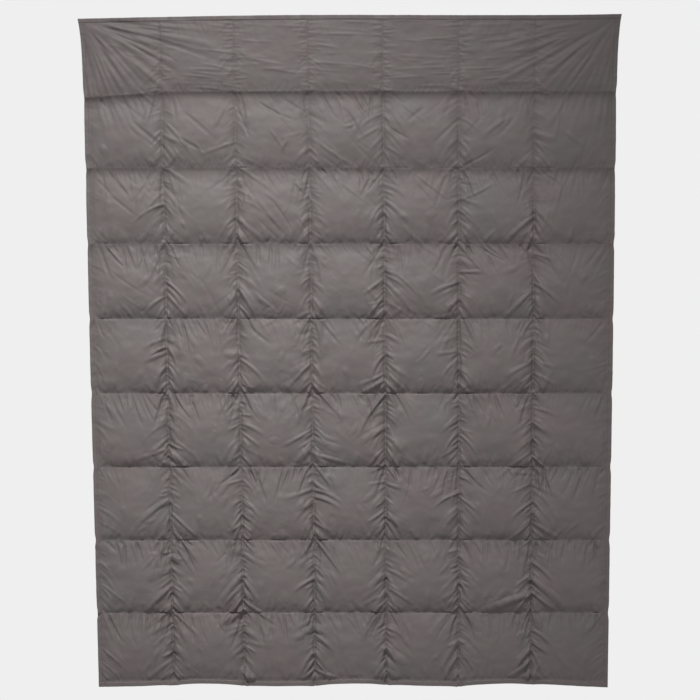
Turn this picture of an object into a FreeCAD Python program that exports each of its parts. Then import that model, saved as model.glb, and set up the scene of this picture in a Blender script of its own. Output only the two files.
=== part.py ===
import FreeCAD, Part
import Sketcher
import os

# Camp quilt, 1400 x 1800 mm, hanging from its top edge.
#
# Frame: the quilt hangs in the XZ plane. X runs along the top edge, +Z is up and the face
# (outer) fabric looks along -Y. The origin is the middle of the top edge, and y = 0 is the
# plane in which the face and the lining are sewn to each other along every seam.
#
# Build: a face and a lining of woven nylon are sewn straight through to each other in a
# grid of 7 columns and 9 rows, so each of the 63 chambers is a low cushion that swells to
# both sides of the seam plane. Loose down fills every chamber. A folded binding closes the
# four edges. Each chamber is drawn as a frustum: flat crown, sloping sides, thin at its seams.

COLUMNS = 7
ROWS = 9

SIZES = [
    ("quilt_width", 1400, "width across the top edge"),
    ("quilt_length", 1800, "length from the top edge to the bottom edge"),
    ("inner_column", 196, "spacing of the lengthwise seams"),
    ("row_spacing", 200, "spacing of the cross seams"),
    ("seam_land", 2, "flat strip along each seam, between two chambers"),
    ("crown_height", 18, "seam plane to the outside of a chamber's crown"),
    ("crown_run", 70, "from a seam in to the edge of the flat crown"),
    ("fabric_thickness", 0.5, "face and lining, each"),
    ("fill_clearance", 0.4, "free height between the down and the fabric"),
    ("binding_width", 12, "folded binding, from the edge to its free lip"),
    ("binding_thickness", 0.5, "binding tape"),
    ("thread_width", 1.2, "stitch line, seen from its face"),
    ("thread_thickness", 0.4, "stitch line, above the fabric that it lies on"),
    ("stitch_inset", 9.5, "edge of the quilt to the middle of the binding's stitch line"),
]

# Spans between the lips of the binding, as a start and a length
OPEN_WIDTH = (
    "-(Sizes.quilt_width / 2 - Sizes.binding_width)",
    "Sizes.quilt_width - 2 * Sizes.binding_width",
)
OPEN_LENGTH = (
    "-(Sizes.quilt_length - Sizes.binding_width)",
    "Sizes.quilt_length - 2 * Sizes.binding_width",
)

doc = FreeCAD.newDocument("CampQuilt")
nodes = []


def make_sheet():
    """The spreadsheet that holds every driving dimension, one alias a row."""
    sheet = doc.addObject("Spreadsheet::Sheet", "Sizes")
    for row, (alias, value, meaning) in enumerate(SIZES, start=1):
        sheet.set(f"A{row}", alias)
        sheet.set(f"B{row}", str(value))
        sheet.set(f"C{row}", meaning)
        sheet.setAlias(f"B{row}", alias)
    doc.recompute()


def bind(obj, expressions):
    """Tie each property of obj to an expression over the sheet's aliases."""
    for name, expression in expressions.items():
        obj.setExpression(name, expression)


def keep(obj, label):
    """Name obj as one of the quilt's own pieces."""
    obj.Label = label
    nodes.append(obj)
    return obj


def fuse(name, shapes):
    """One Part::MultiFuse over several objects."""
    fused = doc.addObject("Part::MultiFuse", name)
    fused.Shapes = shapes
    return fused


# ---- places on the seam grid, as expressions over the sheet ----


def long_seam_x(seam):
    """X of lengthwise seam 1..6, counted from the left."""
    return f"Sizes.inner_column * {seam - COLUMNS / 2}"


def cross_seam_z(seam):
    """Z of cross seam 1..8, counted from the top."""
    return f"-Sizes.row_spacing * {seam}"


def chamber_sides(column):
    """Left and right edge of a chamber: a seam's land, or the lip of the side binding."""
    lip = "(Sizes.quilt_width / 2 - Sizes.binding_width)"
    left = f"-{lip}" if column == 1 else f"{long_seam_x(column - 1)} + Sizes.seam_land / 2"
    right = lip if column == COLUMNS else f"{long_seam_x(column)} - Sizes.seam_land / 2"
    return left, right


def chamber_ends(row):
    """Bottom and top edge of a chamber: a seam's land, or the lip of the end binding."""
    last_lip = "-(Sizes.quilt_length - Sizes.binding_width)"
    bottom = last_lip if row == ROWS else f"{cross_seam_z(row)} + Sizes.seam_land / 2"
    top = "-Sizes.binding_width" if row == 1 else f"{cross_seam_z(row - 1)} - Sizes.seam_land / 2"
    return bottom, top


def chamber(name, row, column, base, crown):
    """Half a chamber as a frustum, from its seam rectangle at y = base to its crown.

    A crown on the face side lies at a lower y than its base, so the wedge's two ends
    change places there.
    """
    left, right = chamber_sides(column)
    bottom, top = chamber_ends(row)
    run = "Sizes.crown_run"
    seam_end = {"Xmin": left, "Xmax": right, "Zmin": bottom, "Zmax": top}
    crown_end = {
        "Xmin": f"{left} + {run}",
        "Xmax": f"{right} - {run}",
        "Zmin": f"{bottom} + {run}",
        "Zmax": f"{top} - {run}",
    }
    on_face_side = crown.startswith("-")
    near, far = (crown_end, seam_end) if on_face_side else (seam_end, crown_end)
    wedge = doc.addObject("Part::Wedge", name)
    bind(wedge, near)
    bind(wedge, {key.replace("m", "2m"): value for key, value in far.items()})
    bind(wedge, {"Ymin": crown, "Ymax": base} if on_face_side else {"Ymin": base, "Ymax": crown})
    return wedge


# ---- the pieces ----


def make_fabrics():
    """Face and lining: one crowned sheet each, the lining the mirror image of the face."""
    outsides = []
    insides = []
    for row in range(1, ROWS + 1):
        for column in range(1, COLUMNS + 1):
            place = f"{row}_{column}"
            cloth = "-Sizes.fabric_thickness"
            crown = "-Sizes.crown_height"
            under_crown = "-(Sizes.crown_height - Sizes.fabric_thickness)"
            outsides.append(chamber(f"Outside_{place}", row, column, cloth, crown))
            insides.append(chamber(f"Inside_{place}", row, column, "0", under_crown))

    flat = doc.addObject("Part::Box", "FlatCloth")
    bind(
        flat,
        {
            "Length": "Sizes.quilt_width - 2 * Sizes.binding_thickness",
            "Width": "Sizes.fabric_thickness",
            "Height": "Sizes.quilt_length - 2 * Sizes.binding_thickness",
            "Placement.Base.x": "-Sizes.quilt_width / 2 + Sizes.binding_thickness",
            "Placement.Base.y": "-Sizes.fabric_thickness",
            "Placement.Base.z": "-Sizes.quilt_length + Sizes.binding_thickness",
        },
    )
    face = doc.addObject("Part::Cut", "Face")
    face.Base = fuse("CrownedCloth", [flat] + outsides)
    face.Tool = fuse("Chambers", insides)
    keep(face, "face_fabric")

    lining = doc.addObject("Part::Mirroring", "Lining")
    lining.Source = face
    lining.Normal = FreeCAD.Vector(0, 1, 0)
    keep(lining, "lining_fabric")


def make_down():
    """The down, one node a row: seven loose lumps, thin where the fabrics meet."""
    reach = "(Sizes.crown_height - Sizes.fabric_thickness - Sizes.fill_clearance)"
    for row in range(1, ROWS + 1):
        halves = []
        for column in range(1, COLUMNS + 1):
            place = f"{row}_{column}"
            halves.append(chamber(f"DownFace_{place}", row, column, "0", f"-{reach}"))
            halves.append(chamber(f"DownLining_{place}", row, column, "0", reach))
        keep(fuse(f"DownRow_{row}", halves), f"down_fill_row_{row}")


def thread_line(name, side, layers, surface, x_span, z_span):
    """A straight stitch line on one side, -1 for the face and 1 for the lining.

    surface is the height of the cloth under it, and layers its thickness in threads.
    """
    line = doc.addObject("Part::Box", name)
    thickness = f"Sizes.thread_thickness * {layers}"
    foot = f"{surface}" if side > 0 else f"-({surface}) - {thickness}"
    bind(
        line,
        {
            "Length": x_span[1],
            "Width": thickness,
            "Height": z_span[1],
            "Placement.Base.x": x_span[0],
            "Placement.Base.y": foot,
            "Placement.Base.z": z_span[0],
        },
    )
    return line


def make_seams():
    """Seam threads, on the face and on the lining.

    The lengthwise seams are sewn first. The cross seams run over them, so each cross seam
    is two threads thick, less the notches that the lengthwise threads leave in it.
    """
    cloth = "Sizes.fabric_thickness"
    long_seams = []
    for seam in range(1, COLUMNS):
        across = (f"{long_seam_x(seam)} - Sizes.thread_width / 2", "Sizes.thread_width")
        lines = [
            thread_line(f"LongThread_{seam}_{name}", side, 1, cloth, across, OPEN_LENGTH)
            for name, side in (("Face", -1), ("Lining", 1))
        ]
        long_seams.append(keep(fuse(f"LongSeam_{seam}", lines), f"long_seam_{seam}"))

    crossed = fuse("LongSeams", long_seams)
    for seam in range(1, ROWS):
        up = (f"{cross_seam_z(seam)} - Sizes.thread_width / 2", "Sizes.thread_width")
        lines = [
            thread_line(f"CrossThread_{seam}_{name}", side, 2, cloth, OPEN_WIDTH, up)
            for name, side in (("Face", -1), ("Lining", 1))
        ]
        notched = doc.addObject("Part::Cut", f"CrossSeam_{seam}")
        notched.Base = fuse(f"CrossThreads_{seam}", lines)
        notched.Tool = crossed
        keep(notched, f"cross_seam_{seam}")


def origin_plane(body, role):
    """One of a body's own origin planes, by its role."""
    return next(feature for feature in body.Origin.OriginFeatures if feature.Role == role)


def binding_section(body):
    """Folded tape on the body's XY plane: web on the Y axis, two legs along +X.

    The legs hold the two fabrics between them.
    """
    sketch = body.newObject("Sketcher::SketchObject", f"{body.Name}_Section")
    sketch.AttachmentSupport = [(origin_plane(body, "XY_Plane"), "")]
    sketch.MapMode = "FlatFace"
    sheet = doc.getObject("Sizes")
    reach = sheet.get("binding_width")
    fold = sheet.get("binding_thickness")
    half = sheet.get("fabric_thickness") + fold
    corners = [
        (0, -half),
        (0, half),
        (reach, half),
        (reach, half - fold),
        (fold, half - fold),
        (fold, fold - half),
        (reach, fold - half),
        (reach, -half),
    ]
    points = [FreeCAD.Vector(x, y, 0) for x, y in corners]
    last = len(points) - 1
    web, top_leg, top_lip, top_inside, _, _, bottom_lip, bottom_leg = range(last + 1)
    for index, point in enumerate(points):
        sketch.addGeometry(Part.LineSegment(point, points[(index + 1) % len(points)]), False)

    start, end, x_axis, y_axis = 1, 2, -1, -2
    for line in range(last + 1):
        sketch.addConstraint(Sketcher.Constraint("Coincident", line, end, (line + 1) % len(points), start))
    for line in range(1, last + 1):
        sketch.addConstraint(Sketcher.Constraint("Horizontal" if line % 2 else "Vertical", line))
    sketch.addConstraint(Sketcher.Constraint("PointOnObject", web, start, y_axis))
    sketch.addConstraint(Sketcher.Constraint("Symmetric", web, start, web, end, x_axis))
    sketch.addConstraint(Sketcher.Constraint("Equal", top_leg, bottom_leg))
    sketch.addConstraint(Sketcher.Constraint("Equal", top_lip, bottom_lip))
    dimensions = [
        ("DistanceY", web, 2 * half, "2 * (Sizes.fabric_thickness + Sizes.binding_thickness)"),
        ("DistanceX", top_leg, reach, "Sizes.binding_width"),
        ("Distance", top_lip, fold, "Sizes.binding_thickness"),
        ("Distance", top_inside, reach - fold, "Sizes.binding_width - Sizes.binding_thickness"),
    ]
    for kind, line, value, expression in dimensions:
        which = (line, start, line, end, value) if kind.endswith(("X", "Y")) else (line, value)
        index = sketch.addConstraint(Sketcher.Constraint(kind, *which))
        sketch.setExpression(f"Constraints[{index}]", expression)
    return sketch


def make_binding(side, length, rotation, base):
    """One folded binding strip, padded along its side of the quilt."""
    body = doc.addObject("PartDesign::Body", f"Binding_{side}")
    section = binding_section(body)
    pad = body.newObject("PartDesign::Pad", f"Binding_{side}_Pad")
    pad.Profile = section
    pad.SideType = "Symmetric"
    pad.setExpression("Length", length)
    body.Tip = pad
    body.Placement = FreeCAD.Placement(FreeCAD.Vector(0, 0, 0), rotation)
    bind(body, {f"Placement.Base.{axis}": expression for axis, expression in base.items()})
    keep(body, f"edge_binding_{side}")


def make_bindings():
    """Four binding strips: the top and bottom ones run through, the side ones butt on them."""
    across = FreeCAD.Vector(0, 1, 0)
    upright = FreeCAD.Vector(0, 0, 1)
    width = "Sizes.quilt_width"
    length = "Sizes.quilt_length"
    _, side_length = OPEN_LENGTH
    left = {"x": f"-{width} / 2", "z": f"-{length} / 2"}
    right = {"x": f"{width} / 2", "z": f"-{length} / 2"}
    make_binding("top", width, FreeCAD.Rotation(across, 90), {"z": "0"})
    make_binding("bottom", width, FreeCAD.Rotation(across, -90), {"z": f"-{length}"})
    make_binding("left", side_length, FreeCAD.Rotation(upright, 0), left)
    make_binding("right", side_length, FreeCAD.Rotation(upright, 180), right)


def make_binding_stitches():
    """The stitch line that holds each binding strip, on the face and on the lining."""
    edge_to_thread = "(Sizes.stitch_inset - Sizes.thread_width / 2)"
    edge_past_thread = "(Sizes.stitch_inset + Sizes.thread_width / 2)"
    thread = "Sizes.thread_width"
    full_width = ("-Sizes.quilt_width / 2", "Sizes.quilt_width")
    spans = {
        "top": (full_width, (f"-{edge_past_thread}", thread)),
        "bottom": (full_width, (f"-Sizes.quilt_length + {edge_to_thread}", thread)),
        "left": ((f"-Sizes.quilt_width / 2 + {edge_to_thread}", thread), OPEN_LENGTH),
        "right": ((f"Sizes.quilt_width / 2 - {edge_past_thread}", thread), OPEN_LENGTH),
    }
    tape = "Sizes.fabric_thickness + Sizes.binding_thickness"
    for side, (x_span, z_span) in spans.items():
        lines = [
            thread_line(f"BindingThread_{side}_{name}", way, 1, tape, x_span, z_span)
            for name, way in (("Face", -1), ("Lining", 1))
        ]
        keep(fuse(f"BindingStitch_{side}", lines), f"binding_stitch_{side}")


def check():
    """Stop if anything failed to build."""
    for obj in doc.Objects:
        if "Invalid" in obj.State or "Error" in obj.State:
            raise RuntimeError(f"{obj.Name} failed: {obj.State}")
    for node in nodes:
        if node.Shape.isNull() or not node.Shape.isValid():
            raise RuntimeError(f"{node.Label} has no valid shape")


def export():
    """Write one STEP file for each piece."""
    os.makedirs("parts", exist_ok=True)
    for node in nodes:
        node.Shape.exportStep(f"parts/{node.Label}.step")
        box = node.Shape.BoundBox
        print(
            f"{node.Label}: {len(node.Shape.Solids)} solids, {node.Shape.Volume / 1e6:.4f} L, "
            f"x {box.XMin:.1f}..{box.XMax:.1f}, y {box.YMin:.1f}..{box.YMax:.1f}, "
            f"z {box.ZMin:.1f}..{box.ZMax:.1f}"
        )


make_sheet()
make_fabrics()
make_down()
make_seams()
make_bindings()
make_binding_stitches()
doc.recompute()
check()
export()
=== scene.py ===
import math

import bpy
import numpy as np
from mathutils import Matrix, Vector


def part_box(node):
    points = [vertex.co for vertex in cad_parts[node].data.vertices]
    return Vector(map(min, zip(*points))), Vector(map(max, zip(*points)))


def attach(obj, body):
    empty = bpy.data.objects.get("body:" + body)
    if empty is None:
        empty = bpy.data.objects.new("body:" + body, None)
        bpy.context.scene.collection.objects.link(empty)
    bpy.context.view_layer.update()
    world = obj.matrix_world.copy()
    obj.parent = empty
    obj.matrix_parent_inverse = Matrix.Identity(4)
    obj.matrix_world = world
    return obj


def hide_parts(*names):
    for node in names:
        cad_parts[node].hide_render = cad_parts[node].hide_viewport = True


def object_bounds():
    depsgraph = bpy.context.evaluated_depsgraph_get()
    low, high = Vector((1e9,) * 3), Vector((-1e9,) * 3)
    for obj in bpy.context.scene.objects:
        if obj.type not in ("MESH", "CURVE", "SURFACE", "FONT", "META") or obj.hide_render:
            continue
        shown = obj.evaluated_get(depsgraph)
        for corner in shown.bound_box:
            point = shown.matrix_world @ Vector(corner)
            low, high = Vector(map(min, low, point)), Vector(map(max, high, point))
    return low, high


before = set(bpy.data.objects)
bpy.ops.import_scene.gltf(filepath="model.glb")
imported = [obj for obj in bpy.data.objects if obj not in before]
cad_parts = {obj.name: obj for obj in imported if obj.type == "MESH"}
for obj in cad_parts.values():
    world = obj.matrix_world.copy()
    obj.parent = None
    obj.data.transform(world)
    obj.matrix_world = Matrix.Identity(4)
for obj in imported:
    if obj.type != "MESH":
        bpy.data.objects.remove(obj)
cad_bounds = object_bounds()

# Camp quilt, hanging from its top edge in the XZ plane with its face towards -Y.
#
# The cloth has two sets of coordinates. (u, v) are flat: u across the quilt as it was cut, v down
# from its top edge, both in metres. hang() gives the place where that point hangs. Face and
# lining meet in the middle surface, whose y is held in MIDDLE, along every seam.

ROOT = "root"

# ---- sizes read from the frame ----

cad_low, cad_high = cad_bounds
HALF_WIDTH = (cad_high.x - cad_low.x) / 2
WIDTH = 2 * HALF_WIDTH
LENGTH = cad_high.z - cad_low.z


def middle_of(node, axis):
    """The middle of a CAD node's box along one axis."""
    low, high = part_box(node)
    return (low[axis] + high[axis]) / 2


LONG_SEAMS = sorted(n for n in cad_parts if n.startswith("long_seam_"))
CROSS_SEAMS = sorted(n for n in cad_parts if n.startswith("cross_seam_"))
SEAM_U = [middle_of(node, 0) for node in LONG_SEAMS]
SEAM_V = [-middle_of(node, 2) for node in CROSS_SEAMS]
COLUMNS = len(SEAM_U) + 1
ROWS = len(SEAM_V) + 1
binding_low, binding_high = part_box("edge_binding_left")
BINDING = binding_high.x - binding_low.x
stitch_low, stitch_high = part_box("binding_stitch_left")
STITCH_INSET = (stitch_low.x + stitch_high.x) / 2 + HALF_WIDTH

# The cloth's own edge stops this far inside the tape's fold.
FOLD_ROOM = 0.0005

# ---- how the quilt hangs ----
#
# Lengths in metres: how far each side is from the middle at the top and at the bottom, then what bends
# the outline and the seams. EAR is the pull of the two top corners, LEAN shifts the upper part to the
# left, ROW_STRETCH lowers the middle rows, CORNER moves the top corners, DIP lowers the first cross seam
# at the left, NOTCH is the dent where a seam meets an edge, and the WAVE and SAG values shape the lower
# edge.

LEFT_TOP, LEFT_BOTTOM = 0.722, 0.675
RIGHT_TOP, RIGHT_BOTTOM = 0.720, 0.693
EAR_PULL, EAR_DEPTH = 0.011, 0.060
LEAN = 0.014
ROW_STRETCH = 0.0165
CORNER_DROP_LEFT, CORNER_RISE_RIGHT, CORNER_REACH = 0.009, 0.004, 0.09
DIP, DIP_WIDTH, DIP_START, DIP_RUN = 0.014, 0.07, 0.42, 0.25
NOTCH, NOTCH_WIDTH = 0.0022, 0.014
WAVE, WAVE_LENGTH, WAVE_START, WAVE_REACH = 0.0035, 0.43, 0.2, 0.08
SAG_WIDTH, SAG_REACH, CORNER_SAG = 0.030, 0.03, 0.004

rng = np.random.default_rng(7)


def hang(u, v):
    """Where a flat point hangs, as x and z."""
    share_down = v / LENGTH
    left = LEFT_TOP + (LEFT_BOTTOM - LEFT_TOP) * share_down
    right = RIGHT_TOP + (RIGHT_BOTTOM - RIGHT_TOP) * share_down
    reach = np.where(u < 0, left, right) / HALF_WIDTH
    outward = np.clip(np.abs(u) / HALF_WIDTH, 0, 1)
    ear = EAR_PULL * np.sign(u) * outward**4 * np.exp(-share_down * LENGTH / EAR_DEPTH)
    lean = -LEAN * np.clip(1 - share_down, 0, 1) ** 1.5 * np.cos(np.pi * u / WIDTH)
    x = u * reach + ear + lean
    for seam in SEAM_V:
        x = x - NOTCH * np.sign(u) * outward**10 * np.exp(-(((v - seam) / NOTCH_WIDTH) ** 2))

    z = -v - ROW_STRETCH * np.sin(np.pi * np.clip(share_down, 0, 1))
    corner_shift = np.where(u < 0, -CORNER_DROP_LEFT * outward**1.5, CORNER_RISE_RIGHT * outward**5)
    z = z + np.exp(-v / CORNER_REACH) * corner_shift
    at_left = np.clip(-(u + DIP_START) / DIP_RUN, 0, 1) ** 1.5
    z = z - DIP * np.exp(-(((v - SEAM_V[0]) / DIP_WIDTH) ** 2)) * at_left
    near_bottom = np.exp(-(LENGTH - v) / WAVE_REACH)
    z = z + WAVE * near_bottom * np.sin(2 * np.pi * (u / WAVE_LENGTH + WAVE_START))
    at_bottom = np.exp(-(LENGTH - v) / SAG_REACH)
    for seam in SEAM_U:
        z = z - NOTCH * at_bottom * np.exp(-(((u - seam) / SAG_WIDTH) ** 2))
    z = z - CORNER_SAG * at_bottom * outward**12
    return x, z


# ---- the cloth's grid ----

COARSE_QUADS = 39
QUADS = 2 * COARSE_QUADS
MARGIN = 4


def grid_lines(start, seams, end, lip):
    """Grid lines across one direction: MARGIN quads under each binding, QUADS in each chamber."""
    edges = [start + lip] + list(seams) + [end - lip]
    lines = list(np.linspace(start + FOLD_ROOM, start + lip, MARGIN + 1)[:-1])
    for low, high in zip(edges[:-1], edges[1:]):
        lines += list(np.linspace(low, high, QUADS + 1)[:-1])
    lines += list(np.linspace(end - lip, end - FOLD_ROOM, MARGIN + 1))
    return np.array(lines)


U_LINES = grid_lines(-HALF_WIDTH, SEAM_U, HALF_WIDTH, BINDING)
V_LINES = grid_lines(0.0, SEAM_V, LENGTH, BINDING)
NU, NV = len(U_LINES), len(V_LINES)
U, V = np.meshgrid(U_LINES, V_LINES)
column = np.clip((np.arange(NU) - MARGIN) // QUADS, 0, COLUMNS - 1)[None, :].repeat(NV, 0)
row = np.clip((np.arange(NV) - MARGIN) // QUADS, 0, ROWS - 1)[:, None].repeat(NU, 1)
U_EDGES = np.array([-HALF_WIDTH + BINDING] + SEAM_U + [HALF_WIDTH - BINDING])
V_EDGES = np.array([BINDING] + SEAM_V + [LENGTH - BINDING])
along = np.clip((V - V_EDGES[row]) / (V_EDGES[row + 1] - V_EDGES[row]), 0, 1)
beside = np.clip(np.minimum(U - U_EDGES[column], U_EDGES[column + 1] - U), 0, 1)
below = np.clip(V - V_EDGES[row], 0, 1)
above = np.clip(V_EDGES[row + 1] - V, 0, 1)
to_seam = np.minimum(np.minimum(below, above), beside)
sewn = to_seam < 1e-6
from_edge = np.minimum(np.minimum(V, LENGTH - V), HALF_WIDTH - np.abs(U))


def by_row(*values):
    """One value for each row of chambers, laid over the grid; the last one repeats."""
    values = list(values) + [values[-1]] * (ROWS - len(values))
    return np.array(values)[row]


def noise(reach_u, reach_v):
    """Smooth noise of unit size on the grid, with a correlation length in each direction. The padding
    keeps opposite edges unlike each other, and cell is the grid's usual spacing."""
    pad = 200
    cell = 0.0025
    freq_u = np.fft.fftfreq(NU + pad)[None, :] * reach_u / cell
    freq_v = np.fft.fftfreq(NV + pad)[:, None] * reach_v / cell
    keep = np.exp(-2 * np.pi**2 * (freq_u**2 + freq_v**2))
    field = np.fft.ifft2(np.fft.fft2(rng.normal(0, 1, (NV + pad, NU + pad))) * keep).real[:NV, :NU]
    return (field - field.mean()) / field.std()


def sample(field, u, v):
    """A grid field at any flat points, by bilinear interpolation."""
    i = np.clip(np.interp(u, U_LINES, np.arange(NU)), 0, NU - 1.001)
    j = np.clip(np.interp(v, V_LINES, np.arange(NV)), 0, NV - 1.001)
    i0, j0 = i.astype(int), j.astype(int)
    fi, fj = i - i0, j - j0
    top = field[j0, i0] * (1 - fi) + field[j0, i0 + 1] * fi
    bottom = field[j0 + 1, i0] * (1 - fi) + field[j0 + 1, i0 + 1] * fi
    return top * (1 - fj) + bottom * fj


# ---- folds ----
#
# A fold is a rounded ridge along a slightly curved line. Where two ridges meet, the higher one wins,
# which leaves the sharp valley between them that pulled cloth has. Angles are in degrees, 0 to the
# right and 90 straight down. By its far end a ridge has curved aside by a share of its length, bend,
# and is wider by a share of its width, widen. The spans given to spread() are metres, degrees or
# plain shares.

DOWNWARDS, UPWARDS = 90, 270


def add_fold(field, u, v, angle, length, width, height, bend=0.0, widen=0.4, rise=0.12, lead=0.0):
    """Adds one ridge. It climbs to its full height over a share of its length, rise, and starts with
    the share lead of that height already."""
    reach = length + 2 * width * (1 + widen)
    i0, i1 = np.searchsorted(U_LINES, (u - reach, u + reach))
    j0, j1 = np.searchsorted(V_LINES, (v - reach, v + reach))
    if i0 >= i1 or j0 >= j1:
        return
    du, dv = U[j0:j1, i0:i1] - u, V[j0:j1, i0:i1] - v
    cos, sin = math.cos(math.radians(angle)), math.sin(math.radians(angle))
    far = (du * cos + dv * sin) / length
    off = dv * cos - du * sin - bend * length * far**2
    half = width * (1 + widen * np.clip(far, 0, 1))
    ends = np.clip(far / rise + lead, 0, 1) * np.clip(1 - far**2, 0, 1)
    ridge = height * ends * np.clip(1 - (off / half) ** 2, 0, 1)
    window = field[j0:j1, i0:i1]
    np.maximum(window, ridge, out=window)


def spread(low, high):
    """A random value in a span."""
    return rng.uniform(low, high)


# Values for each row of chambers, from the top: the cloth is fuller and more creased lower down.
SLANT_STRENGTH = [0.22, 0.50, 0.75, 0.95, 1.10, 1.15, 1.3, 1.5, 1.6]
LOOSE_FOLDS = [0, 2, 3, 4, 5, 5, 6, 6, 7]
PUCKER_HEIGHT = [0.0008, 0.0032, 0.0040, 0.0042, 0.0046, 0.0050, 0.0054, 0.0056, 0.0050]
SWAG_STRENGTH = [0.0, 0.6] + [1.0] * (ROWS - 2)
SIDE_STRENGTH = 0.35
SLANT_AT_TOP, SLANT_GAIN, SLANT_SPREAD = 13, 42, 11
SEAM_CLEARANCE, HEM_OVERRUN = 0.004, 0.008


def slanting_folds(spacing, width, height, reach, chance):
    """Folds that run down and away from the lengthwise seams and the sides, like the strokes of /\\."""
    field = np.zeros_like(U)
    for r in range(ROWS):
        row_height = V_EDGES[r + 1] - V_EDGES[r]
        for edge, u in enumerate(U_EDGES):
            at_side = edge in (0, COLUMNS)
            pull = SLANT_STRENGTH[r] * spread(0.8, 1.2) * (SIDE_STRENGTH if at_side else 1.0)
            v = V_EDGES[r] + spread(0.2, 1.2) * spacing
            last_start = V_EDGES[r + 1] + (HEM_OVERRUN if r == ROWS - 1 else -SEAM_CLEARANCE)
            while v < last_start:
                fall = (v - V_EDGES[r]) / row_height
                size = height * (0.30 + 0.70 * fall**0.8) * pull * rng.choice((0.5, 0.8, 1.0, 1.3))
                for side in (-1, 1):
                    if spread(0, 1) > chance:
                        continue
                    slope = SLANT_AT_TOP + SLANT_GAIN * fall + rng.normal(0, SLANT_SPREAD)
                    angle = slope if side > 0 else 180 - slope
                    length = (0.45 + 0.65 * fall) * reach * spread(0.45, 1.6)
                    add_fold(field, u, v + spread(-0.4, 0.4) * spacing, angle, length=length,
                             width=width * spread(0.75, 1.25), height=size * spread(0.6, 1.3),
                             bend=side * spread(-0.10, 0.50), widen=0.5, lead=0.9)
                v += spacing * spread(0.65, 1.35)
    return field


def loose_folds():
    """A few longer, softer folds in the lower part of each chamber."""
    field = np.zeros_like(U)
    for r in range(ROWS):
        for c in range(COLUMNS):
            for _ in range(LOOSE_FOLDS[r]):
                side = rng.choice((-1, 1))
                fx = spread(0.10, 0.42)
                u = U_EDGES[c] + (fx if side > 0 else 1 - fx) * (U_EDGES[c + 1] - U_EDGES[c])
                v = V_EDGES[r] + spread(0.10, 0.80) * (V_EDGES[r + 1] - V_EDGES[r])
                angle = spread(38, 88) if side > 0 else spread(92, 142)
                add_fold(field, u, v, angle, length=spread(0.035, 0.095), width=spread(0.006, 0.012),
                         height=spread(0.0012, 0.0042), bend=spread(-0.5, 0.5), widen=0.2, rise=0.35)
    return field


NEAR_LONG_SEAM = 0.040


def puckers():
    """Creases at the cross seams. Long ones hang from each seam and lean much the same way within one
    chamber; some chambers are busy and others smooth. Short ticks stand on the seam below."""
    field = np.zeros_like(U)
    for r in range(ROWS):
        for c in range(COLUMNS):
            busy = rng.choice((0.15, 0.5, 0.9, 1.3))
            common = -rng.normal(14, 12) if c < COLUMNS - 1 else rng.normal(14, 8)
            u = U_EDGES[c]
            while u < U_EDGES[c + 1]:
                nearest = U_EDGES[np.abs(U_EDGES - u).argmin()]
                near_seam = math.exp(-((abs(nearest - u) / NEAR_LONG_SEAM) ** 2))
                lean = near_seam * math.copysign(spread(4, 42), nearest - u)
                lean += (1 - near_seam) * common + rng.normal(0, 7)
                height = PUCKER_HEIGHT[r] * spread(0.2, 1.0) * (busy + 0.7 * near_seam)
                add_fold(field, u, V_EDGES[r], DOWNWARDS + lean, length=spread(0.025, 0.110),
                         width=spread(0.0036, 0.0055), height=height, bend=spread(-0.25, 0.25),
                         widen=0.3, rise=0.25)
                u += spread(0.008, 0.021)
            u = U_EDGES[c]
            while u < U_EDGES[c + 1]:
                add_fold(field, u, V_EDGES[r + 1], UPWARDS + rng.normal(0, 18), length=spread(0.010, 0.030),
                         width=spread(0.0030, 0.0046), height=spread(0.0006, 0.0026),
                         bend=spread(-0.2, 0.2), widen=0.4)
                u += spread(0.006, 0.016)
    return field


def swags():
    """Longer folds that stand on the cross seams of the full rows and break up the chamber's belly."""
    field = np.zeros_like(U)
    for r in range(1, ROWS):
        u = -HALF_WIDTH + BINDING + spread(0, 0.03)
        while u < HALF_WIDTH - BINDING:
            add_fold(field, u, V_EDGES[r + 1], UPWARDS + rng.normal(0, 20), length=spread(0.035, 0.085),
                     width=spread(0.0065, 0.0100), height=spread(0.0010, 0.0034) * SWAG_STRENGTH[r],
                     bend=spread(-0.4, 0.4), widen=0.3, rise=0.2)
            u += spread(0.016, 0.050)
    return field


CRUMPLE_HEIGHT = 0.0010


def crumple():
    """Faint sharp creases all over, stronger in patches."""
    patches = np.clip(0.6 + 0.5 * noise(0.05, 0.05), 0.1, 1.6)
    return CRUMPLE_HEIGHT * np.abs(noise(0.016, 0.024)) * patches


def corner_drags(count):
    """Long folds that fan out from the two top corners, which carry the quilt's weight. The fan is
    steeper on the whole at the right corner."""
    field = np.zeros_like(U)
    for side, power in ((-1, 1.0), (1, 0.8)):
        for k in range(count):
            slope = 4 + 82 * ((k + spread(0.1, 0.9)) / count) ** power
            away = spread(0.02, 0.16)
            cos, sin = math.cos(math.radians(slope)), math.sin(math.radians(slope))
            u = side * (HALF_WIDTH - away * cos)
            angle = slope if side < 0 else 180 - slope
            add_fold(field, u, away * sin, angle, length=spread(0.10, 0.26), width=spread(0.0042, 0.0062),
                     height=spread(0.0014, 0.0040), bend=side * spread(-0.05, 0.05), widen=0.9, rise=0.3)
    return field


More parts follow.
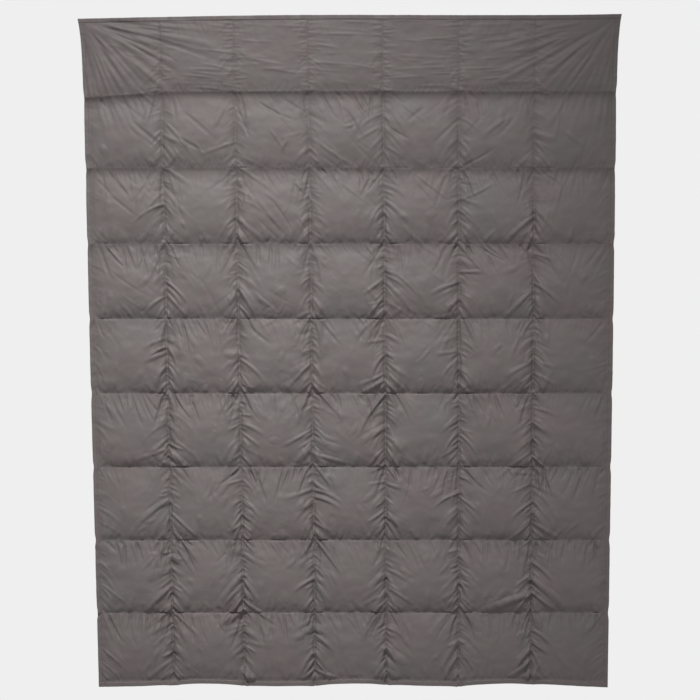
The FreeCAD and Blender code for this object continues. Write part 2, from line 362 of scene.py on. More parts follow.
def cross_drags(count):
    """Folds that run down across the seams of the upper rows: to the right on the left of the quilt and
    in its lower part, to the left elsewhere, and nearly straight down at the right side."""
    field = np.zeros_like(U)
    for _ in range(count):
        u, v = spread(-0.68, 0.68), spread(0.17, 0.78)
        if u < 0.20:
            angle = spread(34, 60)
        elif u > 0.48:
            angle = spread(98, 116)
        elif v > 0.45:
            angle = spread(46, 78)
        else:
            angle = spread(120, 148)
        height = spread(0.0010, 0.0038) * np.interp(v, [0.2, 0.45, 0.78], [1.0, 0.9, 0.5])
        add_fold(field, u, v, angle, length=spread(0.05, 0.17), width=spread(0.0040, 0.0066), height=height,
                 bend=spread(-0.26, 0.26), widen=0.3, rise=0.35)
    return field


def level_wrinkles(count):
    """Fine, nearly level wrinkles in the top row, closer together at its lengthwise seams."""
    field = np.zeros_like(U)
    for _ in range(count):
        u, v = spread(-0.66, 0.55), spread(-0.003, 0.19)
        tilt = np.interp(u, [-0.5, 0.1, 0.5], [6, 0, -7])
        add_fold(field, u, v, tilt + rng.normal(0, 3), length=spread(0.05, 0.18),
                 width=spread(0.0032, 0.0048), height=spread(0.0006, 0.0020),
                 bend=spread(-0.04, 0.04), widen=0.1, rise=0.4)
    for u in SEAM_U:
        v = 0.012
        while v < V_EDGES[1]:
            for side in (0, 180):
                add_fold(field, u, v + rng.normal(0, 0.002), side + rng.normal(0, 7),
                         length=spread(0.018, 0.05), width=spread(0.0032, 0.0045),
                         height=spread(0.0007, 0.0018), widen=0.2)
            v += spread(0.007, 0.012)
    return field


def shelf(seam, depth, run=0.024):
    """Below a seam the cloth falls back before it comes forward again."""
    far = np.clip((V - seam) / run, 0, 40)
    return depth * far * np.exp(1 - far)


# How far a full chamber stands out; how soon it rises beside a seam, and at the quilt's own sides; how
# far its belly wanders up and down; how much more or less down one chamber holds than another; and how
# the last row thins to its hem. The down settles as x - x**7 does, which is SETTLED_PEAK at its highest.
BODY_HEIGHT = 0.0138
SETTLED_PEAK = 0.62
SEAM_SLOPE, SIDE_SLOPE, SIDE_BAND = 0.0115, 0.026, 0.09
BELLY_WANDER = 0.035
FILL_SPREAD, FILL_LIMITS = 0.09, (0.8, 1.15)
HEM_TAPER = 0.050


def body_of_chambers():
    """How far each chamber's crown stands off the seams: the down sits low in it."""
    at_side = np.abs(U) > HALF_WIDTH - BINDING - SIDE_BAND
    flat_topped = 1 - np.exp(-((beside / np.where(at_side, SIDE_SLOPE, SEAM_SLOPE)) ** 1.15))
    wandering = np.clip(along + BELLY_WANDER * noise(0.012, 0.030) * 4 * along * (1 - along), 0, 1)
    settled = (wandering - wandering**7) / SETTLED_PEAK
    plump = by_row(0.06, 0.0, 0.04, 0.08, 0.12, 0.12, 0.12, 0.14, 0.30)
    upright = (1 - plump) * settled + plump * (1 - np.abs(2 * along - 1) ** 12)
    fill = 1 + FILL_SPREAD * rng.normal(0, 1, (ROWS, COLUMNS))[row, column]
    uneven = 1 + 0.10 * noise(0.05, 0.05)
    full = by_row(0.34, 0.66, 0.85, 0.96, 1.0)
    hem = np.where(row == ROWS - 1, 1 - np.exp(-((above / HEM_TAPER) ** 1.2)), 1.0)
    return BODY_HEIGHT * full * flat_topped * upright * hem * np.clip(fill, *FILL_LIMITS) * uneven


def soft_floor(height, softness=0.0006):
    """Keeps face and lining on their own sides of the middle surface."""
    return 0.5 * (height + np.sqrt(height**2 + softness**2))


# BROAD holds the wide folds, which the simulation relaxes, and NARROW the fine ones laid on afterwards.
# Close to a lengthwise seam both sheets bend the same way in them (SHARED), and further off they stand
# out from each sheet. The lengthwise seams lie in a groove, and pinch the folds that cross them.
BROAD = slanting_folds(spacing=0.040, width=0.0105, height=0.0050, reach=0.110, chance=0.6)
NARROW = np.maximum(slanting_folds(spacing=0.0110, width=0.0038, height=0.0046, reach=0.036, chance=0.92),
                    slanting_folds(spacing=0.0210, width=0.0050, height=0.0056, reach=0.082, chance=0.8))
SHARED = 0.78 * np.exp(-((beside / 0.015) ** 2))
GROOVE_DEPTH, GROOVE_WIDTH, GROOVE_SOFTNESS = 0.0056, 0.013, 0.002
PINCH, PINCH_WIDTH = 0.5, 0.004
BOW = 0.0020
SHELF_DEPTHS = (0.0090, 0.0068, 0.0034)
RIPPLE, EDGE_RIPPLE = 0.0004, 0.0004
MIDDLE_SHIFT = 0.0004


def make_middle():
    """The y of the surface that face and lining share along the seams: its broad part, and the whole."""
    bow = BOW * noise(0.30, 0.35)
    inside = np.clip(from_edge / 0.012, 0.7, 1)
    broad = bow - SHARED * BROAD * inside
    step_back = sum(shelf(seam, depth) for seam, depth in zip(SEAM_V, SHELF_DEPTHS))
    to_long_seam = np.minimum.reduce([np.hypot(U - seam, GROOVE_SOFTNESS) for seam in SEAM_U])
    groove = by_row(0.1, 0.6, 0.85, 1.0) * GROOVE_DEPTH * np.exp(-to_long_seam / GROOVE_WIDTH)
    pinch = 1 - PINCH * np.exp(-((beside / PINCH_WIDTH) ** 2))
    ridges = np.maximum.reduce([corner_drags(17), cross_drags(56), level_wrinkles(110)])
    creases = np.maximum.reduce([corner_drags(17), cross_drags(64), puckers()])
    ripple = RIPPLE * noise(0.012, 0.008) + EDGE_RIPPLE * noise(0.0035, 0.0035) * np.exp(-from_edge / 0.014)
    folds = creases - ridges - SHARED * NARROW * pinch
    return broad, broad + (step_back + groove) + ripple + (MIDDLE_SHIFT + folds) * inside


BROAD_MIDDLE, MIDDLE = make_middle()
# The share of its own height that the cloth has, from none on the seams and bindings to all of it.
EDGE_RUN, SEAM_RUN = 0.014, 0.002
near_edge = 1 - np.clip((from_edge - BINDING) / EDGE_RUN, 0, 1)
TIED = np.clip(to_seam / SEAM_RUN, 0, 1) * (1 - near_edge**2)


GRAIN = 0.00016


def chamber_height():
    """How far the cloth stands off the middle: its broad part, and the fine folds laid on it."""
    broad = body_of_chambers() + (1 - SHARED) * BROAD + np.maximum(loose_folds(), swags()) + crumple()
    fine = (1 - SHARED) * NARROW + GRAIN * noise(0.0045, 0.0045)
    return soft_floor(broad) * TIED, fine * TIED


BROAD_HEIGHT, FINE_HEIGHT = chamber_height()


# ---- meshes and the cloth simulation ----

MIDPOINT_WEIGHTS = (-0.0625, 0.5625, 0.5625, -0.0625)


def resampling(count, margin_coarse):
    """Weights that carry values from every second grid line to all lines, with a break at each seam. A
    line in between takes a cubic through its two neighbours on each side."""
    coarse = (count + 1) // 2
    weights = np.zeros((count, coarse))
    breaks = [0, margin_coarse]
    while breaks[-1] + COARSE_QUADS < coarse:
        breaks.append(breaks[-1] + COARSE_QUADS)
    breaks.append(coarse - 1)
    for line in range(count):
        if line % 2 == 0:
            weights[line, line // 2] = 1
            continue
        a = line // 2
        low = max(b for b in breaks if b <= a)
        high = min(b for b in breaks if b > a)
        for k, weight in zip(range(a - 1, a + 3), MIDPOINT_WEIGHTS):
            if k < low:
                weights[line, low] += 2 * weight
                weights[line, min(low + 1, high)] -= weight
            elif k > high:
                weights[line, high] += 2 * weight
                weights[line, max(high - 1, low)] -= weight
            else:
                weights[line, k] += weight
    return weights


TO_FINE_U = resampling(NU, MARGIN // 2)
TO_FINE_V = resampling(NV, MARGIN // 2)
FACE_SIDE, LINING_SIDE = -1, 1


def grid_faces(rows, columns, outward):
    """A grid's quads, turned towards -Y when outward is negative, else towards +Y."""
    cell = np.arange((rows - 1) * (columns - 1))
    corner = (cell // (columns - 1)) * columns + cell % (columns - 1)
    quads = np.stack([corner, corner + columns, corner + columns + 1, corner + 1], -1)
    return quads if outward < 0 else quads[:, ::-1]


def grid_object(name, points, outward):
    """A mesh object from a grid of points."""
    rows, columns = points.shape[:2]
    faces = grid_faces(rows, columns, outward)
    mesh = bpy.data.meshes.new(name)
    mesh.vertices.add(rows * columns)
    mesh.vertices.foreach_set("co", points.reshape(-1))
    mesh.loops.add(faces.size)
    mesh.loops.foreach_set("vertex_index", faces.reshape(-1))
    mesh.polygons.add(len(faces))
    mesh.polygons.foreach_set("loop_start", np.arange(0, faces.size, 4))
    mesh.polygons.foreach_set("use_smooth", np.ones(len(faces), bool))
    mesh.update(calc_edges=True)
    mesh.validate()
    obj = bpy.data.objects.new(name, mesh)
    bpy.context.scene.collection.objects.link(obj)
    return obj


def weight_group(obj, name, values, steps=20):
    """A vertex group with values from 0 to 1, rounded to a few levels so that it fills quickly."""
    group = obj.vertex_groups.new(name=name)
    level = np.round(np.clip(values.ravel(), 0, 1) * steps).astype(int)
    for step in range(1, steps + 1):
        chosen = np.flatnonzero(level == step)
        if len(chosen):
            group.add(chosen.tolist(), step / steps, "REPLACE")


SPARE_CLOTH = 0.028
SIM_FRAMES = 6
PRESSURE = 60.0
CLOTH_GAP = 0.00015


def relax(points):
    """Blender's cloth simulation of the face: seams pinned, spare cloth let out, the down pressing from
    inside."""
    obj = grid_object("relaxing", points, FACE_SIDE)
    rows_full = by_row(0.30, 0.65, 0.9, 1.0)
    weight_group(obj, "sewn", sewn[::2, ::2].astype(float))
    weight_group(obj, "down", ((0.4 + 0.6 * np.clip(along * 1.3, 0, 1)) * rows_full)[::2, ::2])
    weight_group(obj, "spare", rows_full[::2, ::2])
    cloth = obj.modifiers.new("Cloth", "CLOTH")
    settings = cloth.settings
    settings.quality = 5
    settings.mass = 0.001
    settings.tension_stiffness = 80
    settings.compression_stiffness = 80
    settings.shear_stiffness = 24
    settings.bending_model = "ANGULAR"
    settings.bending_stiffness = 0.001
    settings.tension_damping = 5
    settings.compression_damping = 5
    settings.shear_damping = 5
    settings.bending_damping = 0.5
    settings.air_damping = 2
    settings.vertex_group_mass = "sewn"
    settings.pin_stiffness = 50
    settings.use_pressure = True
    settings.uniform_pressure_force = PRESSURE
    settings.vertex_group_pressure = "down"
    settings.vertex_group_shrink = "spare"
    settings.shrink_min = 0
    settings.shrink_max = -SPARE_CLOTH
    settings.effector_weights.gravity = 0
    cloth.collision_settings.use_collision = False
    cloth.point_cache.frame_start = 1
    cloth.point_cache.frame_end = SIM_FRAMES
    for step in range(1, SIM_FRAMES + 1):
        bpy.context.scene.frame_set(step)
    relaxed = obj.evaluated_get(bpy.context.evaluated_depsgraph_get()).data
    result = np.empty(len(relaxed.vertices) * 3)
    relaxed.vertices.foreach_get("co", result)
    mesh = obj.data
    bpy.data.objects.remove(obj)
    bpy.data.meshes.remove(mesh)
    bpy.context.scene.frame_set(1)
    return result.reshape(points.shape)


def new_object(name, points, faces):
    """A smooth-shaded mesh object."""
    mesh = bpy.data.meshes.new(name)
    mesh.from_pydata(np.asarray(points).tolist(), [], [list(map(int, f)) for f in faces])
    mesh.update()
    mesh.polygons.foreach_set("use_smooth", np.ones(len(mesh.polygons), bool))
    obj = bpy.data.objects.new(name, mesh)
    bpy.context.scene.collection.objects.link(obj)
    return obj


def flat_uv(obj, u, v):
    """The cloth's flat coordinates in metres as its UV map, so that the weave follows the cloth."""
    layer = obj.data.uv_layers.new(name="cloth")
    loops = np.empty(len(obj.data.loops), int)
    obj.data.loops.foreach_get("vertex_index", loops)
    layer.data.foreach_set("uv", np.stack([u[loops], v[loops]], -1).ravel())


def relaxed_change():
    """How far the relaxed face lies from its start, in x, outwards and in z."""
    x, z = hang(U, V)
    start = np.stack([x, BROAD_MIDDLE - CLOTH_GAP - BROAD_HEIGHT, z], -1)
    change = np.zeros_like(start)
    coarse = np.ascontiguousarray(start[::2, ::2])
    moved = relax(coarse) - coarse
    moved[..., 1] *= -1
    for axis in range(3):
        change[..., axis] = TO_FINE_V @ moved[..., axis] @ TO_FINE_U.T
    return change


CHANGE = relaxed_change()
FREE_HEIGHT = 0.002


def make_cloth(name, outward):
    """Face or lining: the seams pull both alike, so the relaxed change is the same on each."""
    height = CLOTH_GAP + soft_floor(BROAD_HEIGHT + CHANGE[..., 1] + FINE_HEIGHT) * TIED
    free = np.clip(height / FREE_HEIGHT, 0, 1)
    x, z = hang(U, V)
    x = x + CHANGE[..., 0] * free
    z = z + CHANGE[..., 2] * free
    points = np.stack([x, MIDDLE + outward * height, z], -1)
    obj = grid_object(name, points, outward)
    flat_uv(obj, U.ravel(), V.ravel())
    return obj, points


# ---- materials ----


def node_tree(name):
    """A new material, with its node tree and its main shader."""
    material = bpy.data.materials.new(name)
    material.use_nodes = True
    tree = material.node_tree
    return material, tree, tree.nodes["Principled BSDF"]


MOTTLE = 0.045
WEAVE_SCALE, CRINKLE_SCALE = 520, 95


def cloth_material(name, colour, roughness):
    """Thin woven nylon: plain weave, fine crinkles, a little mottling, a low sheen."""
    material, tree, shader = node_tree(name)
    nodes, link = tree.nodes, tree.links.new
    uv = nodes.new("ShaderNodeUVMap")
    uv.uv_map = "cloth"

    mottle = nodes.new("ShaderNodeTexNoise")
    mottle.inputs["Scale"].default_value = 7
    mottle.inputs["Detail"].default_value = 5
    link(uv.outputs[0], mottle.inputs["Vector"])
    ramp = nodes.new("ShaderNodeValToRGB")
    ramp.color_ramp.elements[0].position = 0.35
    ramp.color_ramp.elements[1].position = 0.65
    red, green, blue = colour
    ramp.color_ramp.elements[0].color = (red * (1 - MOTTLE), green * 1.01, blue, 1)
    ramp.color_ramp.elements[1].color = (red * (1 + MOTTLE), green * 0.992, blue, 1)
    link(mottle.outputs["Fac"], ramp.inputs[0])
    link(ramp.outputs[0], shader.inputs["Base Color"])

    waves = []
    for direction in ("X", "Y"):
        wave = nodes.new("ShaderNodeTexWave")
        wave.bands_direction = direction
        wave.inputs["Scale"].default_value = WEAVE_SCALE
        wave.inputs["Distortion"].default_value = 0.6
        wave.inputs["Detail Scale"].default_value = 2
        link(uv.outputs[0], wave.inputs["Vector"])
        waves.append(wave)
    weave = nodes.new("ShaderNodeMath")
    weave.operation = "MULTIPLY"
    link(waves[0].outputs["Fac"], weave.inputs[0])
    link(waves[1].outputs["Fac"], weave.inputs[1])

    crinkle = nodes.new("ShaderNodeTexNoise")
    crinkle.inputs["Scale"].default_value = CRINKLE_SCALE
    crinkle.inputs["Detail"].default_value = 4
    crinkle.inputs["Roughness"].default_value = 0.55
    crinkle.inputs["Distortion"].default_value = 0.7
    link(uv.outputs[0], crinkle.inputs["Vector"])

    fine = nodes.new("ShaderNodeBump")
    fine.inputs["Distance"].default_value = 0.00003
    fine.inputs["Strength"].default_value = 0.6
    link(weave.outputs[0], fine.inputs["Height"])
    broad = nodes.new("ShaderNodeBump")
    broad.inputs["Distance"].default_value = 0.0006
    broad.inputs["Strength"].default_value = 0.5
    link(crinkle.outputs["Fac"], broad.inputs["Height"])
    link(fine.outputs[0], broad.inputs["Normal"])
    link(broad.outputs[0], shader.inputs["Normal"])

    gloss = nodes.new("ShaderNodeMapRange")
    gloss.inputs["To Min"].default_value = roughness - 0.05
    gloss.inputs["To Max"].default_value = roughness + 0.06
    link(mottle.outputs["Fac"], gloss.inputs["Value"])
    link(gloss.outputs[0], shader.inputs["Roughness"])
    shader.inputs["Specular IOR Level"].default_value = 0.35
    shader.inputs["Sheen Weight"].default_value = 0.08
    shader.inputs["Sheen Roughness"].default_value = 0.4
    return material


def shade(colour, factor):
    """A colour made darker or lighter, with full alpha."""
    return (*[channel * factor for channel in colour], 1)


def thread_material(name, colour):
    """Twisted polyester thread, with painted shade in the grooves of its twist."""
    material, tree, shader = node_tree(name)
    nodes, link = tree.nodes, tree.links.new
    surface = nodes.new("ShaderNodeTexCoord")
    twist = nodes.new("ShaderNodeTexWave")
    twist.bands_direction = "DIAGONAL"
    twist.inputs["Scale"].default_value = 420
    link(surface.outputs["Object"], twist.inputs["Vector"])
    # Painted shade: the colour darkens where the twist's bump is low, in its grooves.
    ramp = nodes.new("ShaderNodeValToRGB")
    ramp.color_ramp.elements[0].color = shade(colour, 0.72)
    ramp.color_ramp.elements[1].color = shade(colour, 1.05)
    link(twist.outputs["Fac"], ramp.inputs[0])
    link(ramp.outputs[0], shader.inputs["Base Color"])
    bump = nodes.new("ShaderNodeBump")
    bump.inputs["Distance"].default_value = 0.0001
    link(twist.outputs["Fac"], bump.inputs["Height"])
    link(bump.outputs[0], shader.inputs["Normal"])
    shader.inputs["Roughness"].default_value = 0.5
    return material


def down_material(name, colour):
    """Loose white down: clumps with soft, uneven tufts."""
    material, tree, shader = node_tree(name)
    nodes, link = tree.nodes, tree.links.new
    surface = nodes.new("ShaderNodeTexCoord")
    clumps = nodes.new("ShaderNodeTexVoronoi")
    clumps.inputs["Scale"].default_value = 60
    link(surface.outputs["Object"], clumps.inputs["Vector"])
    tufts = nodes.new("ShaderNodeTexNoise")
    tufts.inputs["Scale"].default_value = 240
    tufts.inputs["Detail"].default_value = 6
    link(surface.outputs["Object"], tufts.inputs["Vector"])
    ramp = nodes.new("ShaderNodeValToRGB")
    ramp.color_ramp.elements[0].color = shade(colour, 0.8)
    ramp.color_ramp.elements[1].color = (*colour, 1)
    link(tufts.outputs["Fac"], ramp.inputs[0])
    link(ramp.outputs[0], shader.inputs["Base Color"])
    bump = nodes.new("ShaderNodeBump")
    bump.inputs["Distance"].default_value = 0.002
    link(clumps.outputs["Distance"], bump.inputs["Height"])
    link(bump.outputs[0], shader.inputs["Normal"])
    shader.inputs["Roughness"].default_value = 0.95
    shader.inputs["Sheen Weight"].default_value = 0.5
    return material


NYLON = (0.1475, 0.127, 0.1252)
LINING_NYLON = [channel * 0.94 for channel in NYLON]
TAPE_NYLON = [channel * 0.98 for channel in NYLON]
WHITE_DOWN = (0.80, 0.78, 0.74)
shell_nylon = cloth_material("shell_nylon", NYLON, roughness=0.58)
lining_nylon = cloth_material("lining_nylon", LINING_NYLON, roughness=0.5)
binding_nylon = cloth_material("binding_tape", TAPE_NYLON, roughness=0.58)
thread = thread_material("thread", NYLON)
down = down_material("down", WHITE_DOWN)


def finish_piece(obj, material, slot, *nodes):
    """Gives a piece its material and body, and hides the CAD nodes that it stands for. Its slot is not
    used.
    """
    obj.data.materials.append(material)
    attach(obj, ROOT)
    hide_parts(*nodes)
    return obj


# ---- pieces ----

face, face_points = make_cloth("face_cloth", FACE_SIDE)
lining, lining_points = make_cloth("lining_cloth", LINING_SIDE)
finish_piece(face, shell_nylon, "shell_nylon", "face_fabric")
finish_piece(lining, lining_nylon, "lining_nylon", "lining_fabric")

# The tape's section, as (distance in from the quilt's edge, height off the middle surface): over the
# lining, round the edge, over the face, and back along its inside.
TAPE_OUTSIDE, TAPE_INSIDE, TAPE_BEND = 0.00036, 0.00022, 0.0002
INSETS = list(U_LINES[: MARGIN + 1] + HALF_WIDTH)
SECTION = (
    [(inset, TAPE_OUTSIDE) for inset in reversed(INSETS)]
    + [(TAPE_BEND, TAPE_BEND), (0.0, 0.0), (TAPE_BEND, -TAPE_BEND)]
    + [(inset, -TAPE_OUTSIDE) for inset in INSETS]
    + [(inset, -TAPE_INSIDE) for inset in reversed(INSETS)]
    + [(inset, TAPE_INSIDE) for inset in INSETS]
)


def edge_point(side, distance, inset):
    """Flat coordinates of a point that far along an edge and that far in from it."""
    if side == "top":
        return distance, inset
    if side == "bottom":
        return distance, LENGTH - inset
    if side == "left":
        return -HALF_WIDTH + inset, distance
    return HALF_WIDTH - inset, distance


def place(u, v, height):
    """Points that lie that far towards the lining from the middle surface."""
    x, z = hang(u, v)
    return np.stack([x, sample(MIDDLE, u, v) + height, z], -1)


def make_binding(side):
    """One folded strip of tape. Its points lie over the cloth's own, so it wrinkles with the cloth."""
    if side in ("top", "bottom"):
        distance = np.concatenate([[-HALF_WIDTH], U_LINES, [HALF_WIDTH]])
    else:
        distance = V_LINES[MARGIN:-MARGIN]
    rings = []
    for inset, height in SECTION:
        u, v = edge_point(side, distance, np.full_like(distance, inset))
        rings.append(place(u, v, height))
    rings = np.array(rings)
    turns, steps = rings.shape[:2]
    index = np.arange(turns * steps).reshape(turns, steps)
    faces = []
    for k in range(turns):
        a, b = index[k], index[(k + 1) % turns]
        faces += np.stack([a[:-1], b[:-1], b[1:], a[1:]], -1).tolist()
    faces += [index[::-1, 0].tolist(), index[:, -1].tolist()]
    obj = new_object(f"binding_{side}", rings.reshape(-1, 3), faces)
    run = np.tile(distance, turns)
    inset = np.repeat([inset for inset, _ in SECTION], steps)
    flat_uv(obj, run, inset)
    return finish_piece(obj, binding_nylon, "binding_tape", f"edge_binding_{side}")


STITCH_PITCH = 0.0034
STITCH_LENGTH = 0.0029
THREAD_RADIUS = 0.00024
THREAD_SIDES = 6
# Rings along one stitch, as (place along it, share of the thread's radius, rise in radii).
STITCH_PROFILE = [
    (-0.5, 0.35, -1.3),
    (-0.3, 0.9, -0.2),
    (0.0, 1.0, 0.25),
    (0.3, 0.9, -0.2),
    (0.5, 0.35, -1.3),
]


def stitch_line(u, v, outward, height):
    """Stitches along a line of flat points, each dipping into the cloth at both its ends."""
    centre = place(u, v, outward * height)
    ahead = np.roll(centre, -1, 0) - centre
    ahead[-1] = ahead[-2]
    ahead /= np.linalg.norm(ahead, axis=1, keepdims=True)
    out = np.array([0.0, outward, 0.0])
    beside_line = np.cross(ahead, out)
    beside_line /= np.linalg.norm(beside_line, axis=1, keepdims=True)
    lift = np.cross(beside_line, ahead)
    points = []
    for step, radius, rise in STITCH_PROFILE:
        for turn in range(THREAD_SIDES):
            angle = 2 * math.pi * turn / THREAD_SIDES
            ring = math.cos(angle) * beside_line + (math.sin(angle) + rise / radius) * lift
            points.append(centre + ahead * step * STITCH_LENGTH + ring * THREAD_RADIUS * radius)
    points = np.array(points).transpose(1, 0, 2)
    per_stitch = points.shape[1]
    pattern = []
    for ring in range(len(STITCH_PROFILE) - 1):
        for turn in range(THREAD_SIDES):
            a = ring * THREAD_SIDES + turn
            b = ring * THREAD_SIDES + (turn + 1) % THREAD_SIDES
            pattern.append([a, b, b + THREAD_SIDES, a + THREAD_SIDES])
    last = per_stitch - THREAD_SIDES
    caps = [list(range(THREAD_SIDES))[::-1], list(range(last, per_stitch))]
    return points.reshape(-1, 3), pattern, caps, per_stitch


def make_stitches(node, u, v, height):
    """One seam's stitches, on the face and on the lining."""
    points, faces = [], []
    start = 0
    for outward in (FACE_SIDE, LINING_SIDE):
        line, pattern, caps, per_stitch = stitch_line(u, v, outward, height)
        for stitch in range(len(u)):
            offset = start + stitch * per_stitch
            faces += [[offset + i for i in face] for face in pattern + caps]
        points.append(line)
        start += len(line)
    obj = new_object(f"stitching_{node}", np.concatenate(points), faces)
    return finish_piece(obj, thread, "thread", node)


def stitch_places(start, end):
    """The middles of the stitches along a line."""
    count = int((end - start) / STITCH_PITCH)
    return np.linspace(start + STITCH_PITCH / 2, end - STITCH_PITCH / 2, count)


ON_CLOTH = 0.0003
ON_TAPE = 0.00028
SIDES = ("top", "bottom", "left", "right")
bindings = [make_binding(side) for side in SIDES]
across_run = stitch_places(-HALF_WIDTH + BINDING, HALF_WIDTH - BINDING)
down_run = stitch_places(BINDING, LENGTH - BINDING)
for node, seam_v in zip(CROSS_SEAMS, SEAM_V):
    make_stitches(node, across_run, np.full_like(across_run, seam_v), ON_CLOTH)
for node, seam_u in zip(LONG_SEAMS, SEAM_U):
    make_stitches(node, np.full_like(down_run, seam_u), down_run, ON_CLOTH)
for side in SIDES:
    run = stitch_places(-HALF_WIDTH, HALF_WIDTH) if side in ("top", "bottom") else down_run
    u, v = edge_point(side, run, np.full_like(run, STITCH_INSET))
    make_stitches(f"binding_stitch_{side}", u, v, ON_TAPE)

# The down uses every second line of the cloth's grid, and keeps a few lines clear of the seams.
DOWN_STEP = 2
DOWN_SIDE, DOWN_TOP = 6, 16
DOWN_SHARE, DOWN_REACH = 0.6, 3


def slimmest(height, lines):
    """The smallest height within that many grid lines of each point."""
    for axis in (0, 1):
        height = np.minimum.reduce([np.roll(height, shift, axis) for shift in range(-lines, lines + 1)])
    return height


cloth_middle = (face_points + lining_points) / 2
cloth_height = slimmest((lining_points - face_points)[..., 1] / 2, DOWN_REACH)


def down_lines(chamber, start_clear):
    """The grid lines that the down uses in one chamber, across or down."""
    first = MARGIN + QUADS * chamber
    return np.arange(first + start_clear, first + QUADS - DOWN_SIDE + 1, DOWN_STEP)


def make_down(row_number):
    """One row's down: seven closed lumps, each settled in the lower four fifths of its chamber."""
    points, faces = [], []
    for lump in range(COLUMNS):
        patch = np.ix_(down_lines(row_number, DOWN_TOP), down_lines(lump, DOWN_SIDE))
        middle = cloth_middle[patch]
        rim = np.ones(middle.shape[:2], bool)
        rim[1:-1, 1:-1] = False
        half = np.where(rim, 0.0, DOWN_SHARE * cloth_height[patch])[..., None] * (0, 1, 0)
        front = np.arange(rim.size).reshape(rim.shape) + sum(len(p) for p in points)
        back = front.copy()
        back[~rim] = front.max() + 1 + np.arange(np.count_nonzero(~rim))
        points += [(middle - half).reshape(-1, 3), (middle + half)[~rim]]
        for grid, flip in ((front, False), (back, True)):
            quads = np.stack([grid[:-1, :-1], grid[1:, :-1], grid[1:, 1:], grid[:-1, 1:]], -1)
            quads = quads.reshape(-1, 4)
            faces += (quads[:, ::-1] if flip else quads).tolist()
    obj = new_object(f"down_row_{row_number + 1}", np.concatenate(points), faces)
    finish_piece(obj, down, "down", f"down_fill_row_{row_number + 1}")


for row_number in range(ROWS):
    make_down(row_number)

# ---- stage, light and camera ----

PAPER = 0.863
FILL = 0.44
KEY_WATTS, KEY_SIZE, KEY_BEAM = 9.4, 1.0, 30
KEY_PLACE, KEY_AIM = Vector((-0.344, -3.5, 3.28)), Vector((-0.312, 0, -0.98))
BACK_WATTS, BACK_SIZE, BACK_BEAM = 14, 1.2, 40
BACK_PLACE, BACK_AIM = Vector((0.5, 3.5, 3.0)), Vector((0, 0, -0.9))
FLOOR_TONE, FLOOR_GLOW = 0.12, 0.76
FLOOR_RADIUS, FLOOR_DROP = 1.12, 0.3
FLOOR_RINGS, FLOOR_TURNS = 24, 96
FRAME_SIDE = 1.8815
LENS = 85.0


def floor_disc(height):
    """A flat round mesh object of rings around the centre."""
    points = [(0.0, 0.0, height)]
    faces = []
    for ring in range(1, FLOOR_RINGS + 1):
        for turn in range(FLOOR_TURNS):
            angle = 2 * math.pi * turn / FLOOR_TURNS
            away = FLOOR_RADIUS * ring / FLOOR_RINGS
            points.append((away * math.cos(angle), away * math.sin(angle), height))
    for turn in range(FLOOR_TURNS):
        following = (turn + 1) % FLOOR_TURNS
        faces.append([0, 1 + turn, 1 + following])
        for ring in range(FLOOR_RINGS - 1):
            inner = 1 + ring * FLOOR_TURNS
            outer = inner + FLOOR_TURNS
            faces.append([inner + turn, outer + turn, outer + following, inner + following])
    return new_object("floor", points, faces)


def floor_material(height):
    """Pale glowing paper that fades out towards its rim."""
    material, tree, shader = node_tree("floor_paper")
    nodes, link = tree.nodes, tree.links.new
    surface = nodes.new("ShaderNodeTexCoord")
    ball = nodes.new("ShaderNodeTexGradient")
    ball.gradient_type = "SPHERICAL"
    scale = nodes.new("ShaderNodeMapping")
    scale.inputs["Location"].default_value = (0, 0, -height / FLOOR_RADIUS)
    scale.inputs["Scale"].default_value = (1 / FLOOR_RADIUS,) * 3
    link(surface.outputs["Object"], scale.inputs["Vector"])
    link(scale.outputs[0], ball.inputs["Vector"])
    fade = nodes.new("ShaderNodeMapRange")
    fade.interpolation_type = "SMOOTHSTEP"
    fade.inputs["From Max"].default_value = 0.5
    link(ball.outputs["Fac"], fade.inputs["Value"])
    link(fade.outputs[0], shader.inputs["Alpha"])
    shader.inputs["Base Color"].default_value = (FLOOR_TONE, FLOOR_TONE, FLOOR_TONE, 1)
    shader.inputs["Roughness"].default_value = 0.9
    shader.inputs["Specular IOR Level"].default_value = 0
    shader.inputs["Emission Color"].default_value = (1, 1, 1, 1)
    shader.inputs["Emission Strength"].default_value = FLOOR_GLOW
    return material


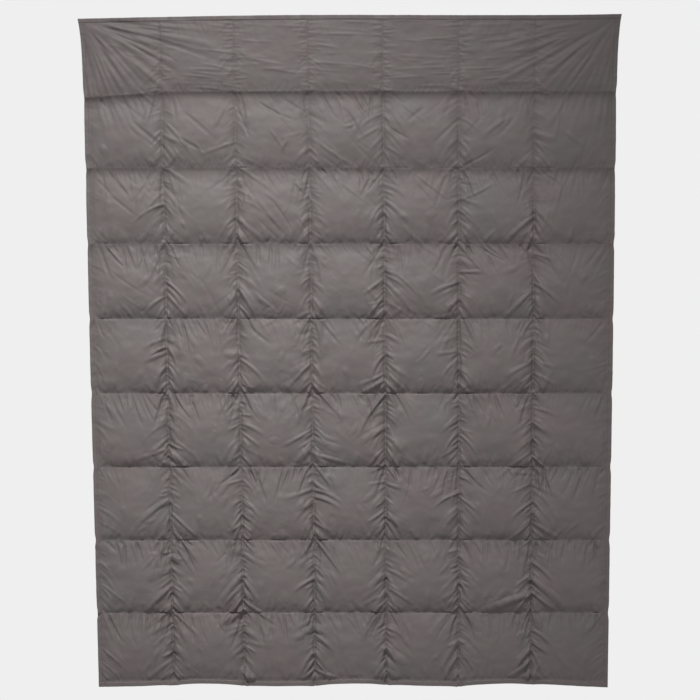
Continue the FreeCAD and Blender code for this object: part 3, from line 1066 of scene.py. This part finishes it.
def make_floor():
    """A round floor under the quilt, glowing so that shadows on it stay faint. It throws no light back
    on the quilt."""
    height = -LENGTH - FLOOR_DROP
    floor = floor_disc(height)
    floor.data.materials.append(floor_material(height))
    floor.visible_diffuse = False
    floor.visible_glossy = False


def area_light(name, place_at, aim, size, watts, beam):
    """A square lamp at a place, aimed at a point, with its beam's angle in degrees."""
    data = bpy.data.lights.new(name, "AREA")
    data.energy = watts
    data.size = size
    data.spread = math.radians(beam)
    light = bpy.data.objects.new(name, data)
    light.location = place_at
    light.rotation_euler = (aim - place_at).to_track_quat("-Z", "Y").to_euler()
    bpy.context.scene.collection.objects.link(light)


def make_world():
    """Pale surroundings, which light the quilt less than they show."""
    world = bpy.data.worlds.new("studio")
    world.use_nodes = True
    nodes, link = world.node_tree.nodes, world.node_tree.links.new
    seen = nodes["Background"]
    seen.inputs["Color"].default_value = (PAPER, PAPER, PAPER, 1)
    fill = nodes.new("ShaderNodeBackground")
    fill.inputs["Color"].default_value = (FILL, FILL, FILL, 1)
    path = nodes.new("ShaderNodeLightPath")
    mix = nodes.new("ShaderNodeMixShader")
    link(path.outputs["Is Camera Ray"], mix.inputs[0])
    link(fill.outputs[0], mix.inputs[1])
    link(seen.outputs[0], mix.inputs[2])
    link(mix.outputs[0], nodes["World Output"].inputs["Surface"])
    bpy.context.scene.world = world


def make_camera():
    """A level camera in front of the quilt's middle, at the distance where it sees FRAME_SIDE."""
    data = bpy.data.cameras.new("camera")
    data.lens = LENS
    camera = bpy.data.objects.new("camera", data)
    distance = FRAME_SIDE / 2 / (data.sensor_width / 2 / LENS)
    camera.location = (0, -distance, -LENGTH / 2)
    camera.rotation_euler = (math.pi / 2, 0, 0)
    bpy.context.scene.collection.objects.link(camera)
    bpy.context.scene.camera = camera


make_floor()
make_world()
area_light("key", KEY_PLACE, KEY_AIM, KEY_SIZE, KEY_WATTS, KEY_BEAM)
area_light("back_key", BACK_PLACE, BACK_AIM, BACK_SIZE, BACK_WATTS, BACK_BEAM)
make_camera()
bpy.context.scene.view_settings.view_transform = "Standard"

bpy.context.view_layer.update()
